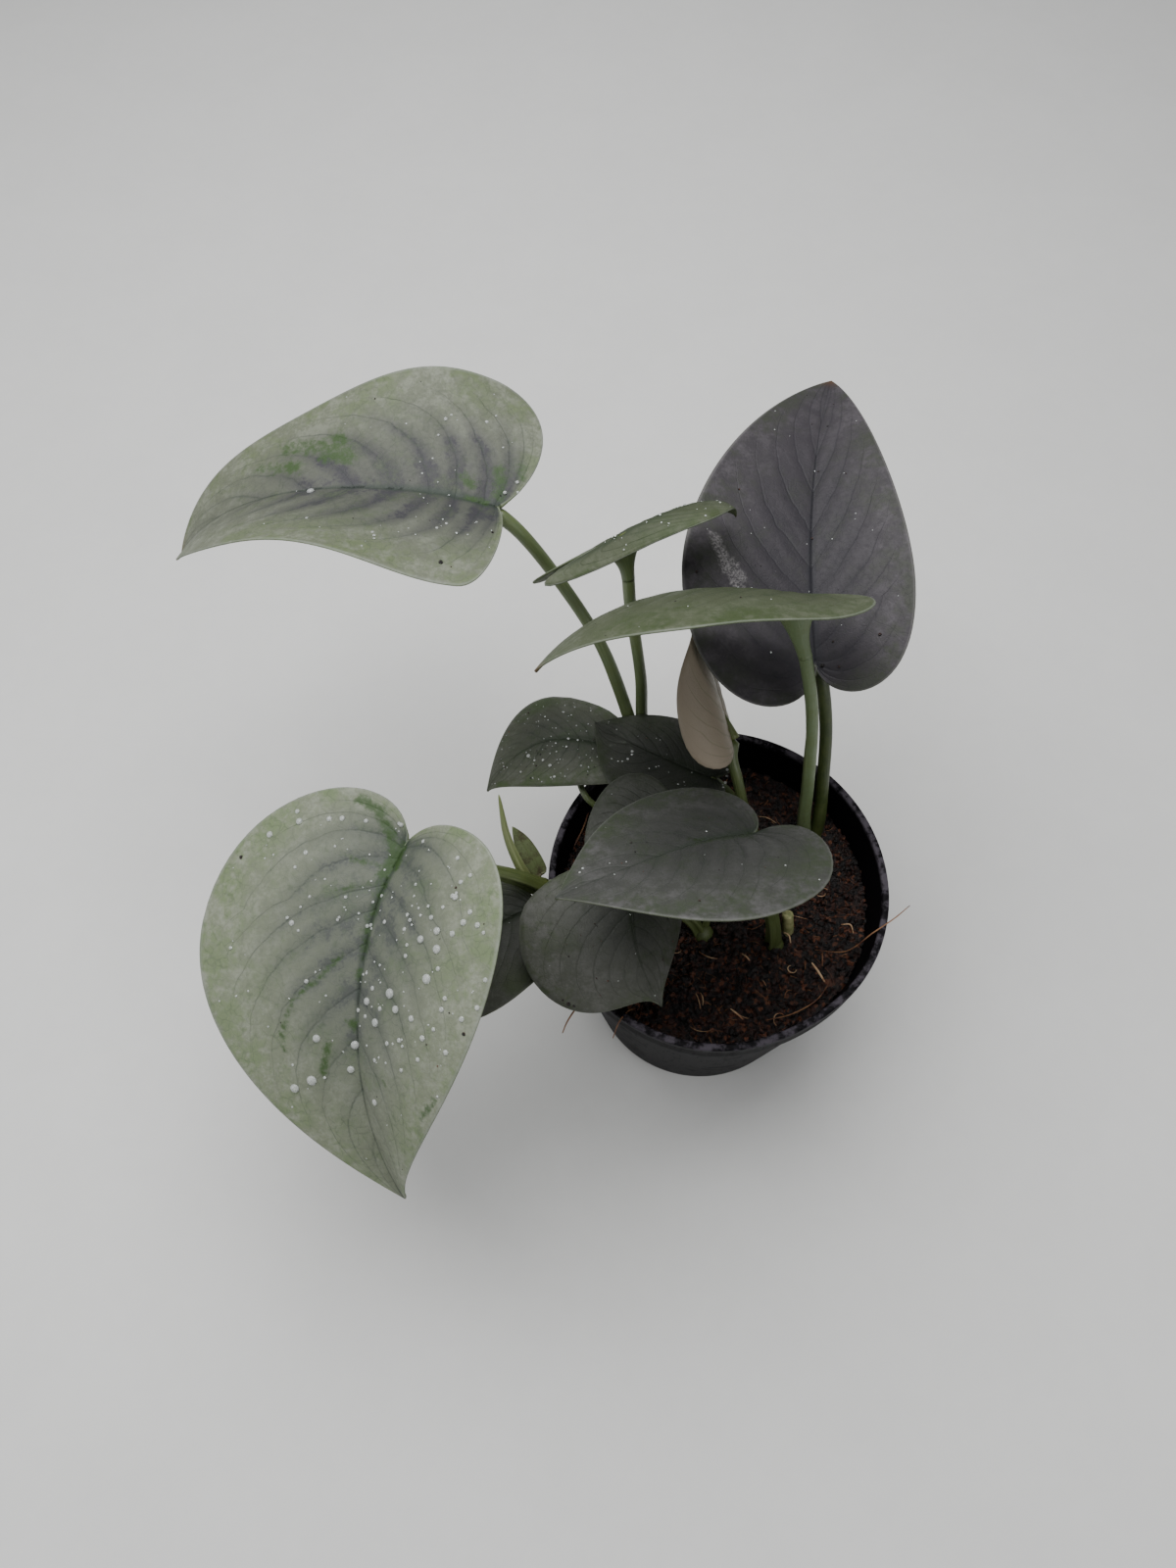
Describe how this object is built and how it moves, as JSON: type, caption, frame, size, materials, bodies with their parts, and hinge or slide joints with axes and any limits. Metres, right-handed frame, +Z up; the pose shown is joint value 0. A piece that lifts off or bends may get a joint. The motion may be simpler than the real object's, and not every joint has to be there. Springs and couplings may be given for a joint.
{
  "type": "potted platinum scindapsus",
  "caption": "Young aroid vine with broad heart-shaped silver-green leaves on arching stalks, growing from potting mix in a round black nursery pot.",
  "frame": {"origin": "middle of the pot's flat underside", "axes": "+Z up, -Y to the front, +X to the right as seen from the front"},
  "size_m": [0.185, 0.2091, 0.165],
  "materials": {
    "pot_plastic": "thin black nursery plastic with a soft sheen",
    "potting_mix": "damp reddish brown coir and peat, rough",
    "leaf_silver": "satin silver-green leaf with purple-grey veins",
    "leaf_dusky": "satin leaf, greyer and more purple than the outer ones",
    "leaf_underside": "matt pale underside of a rolled leaf",
    "petiole_green": "smooth olive green stalk",
    "shoot_green": "smooth pale yellow-green",
    "sheath_tan": "thin dry sheath, matt",
    "stub_tan": "dry pale stub, matt"
  },
  "bodies": {
    "root": {"pot": "pot_plastic", "soil": "potting_mix", "stem_back_pair": "petiole_green", "stem_right_pair": "petiole_green", "stem_middle_pair": "petiole_green", "stem_low_pair": "petiole_green", "stem_front": "petiole_green", "stem_thin": "petiole_green", "stem_trailing": "petiole_green", "leaf_back_left": "leaf_silver", "leaf_back_small": "leaf_silver", "leaf_back_arched": "leaf_silver", "leaf_back_large": "leaf_dusky", "leaf_inner_left": "leaf_dusky", "leaf_middle": "leaf_dusky", "leaf_rolled": "leaf_underside", "leaf_centre_small": "leaf_dusky", "leaf_front": "leaf_dusky", "leaf_low_front": "leaf_dusky", "leaf_over_rim": "leaf_dusky", "leaf_trailing": "leaf_silver", "new_shoot": "shoot_green", "bud_sheath": "sheath_tan", "cut_petiole": "stub_tan"}
  },
  "joints": []
}
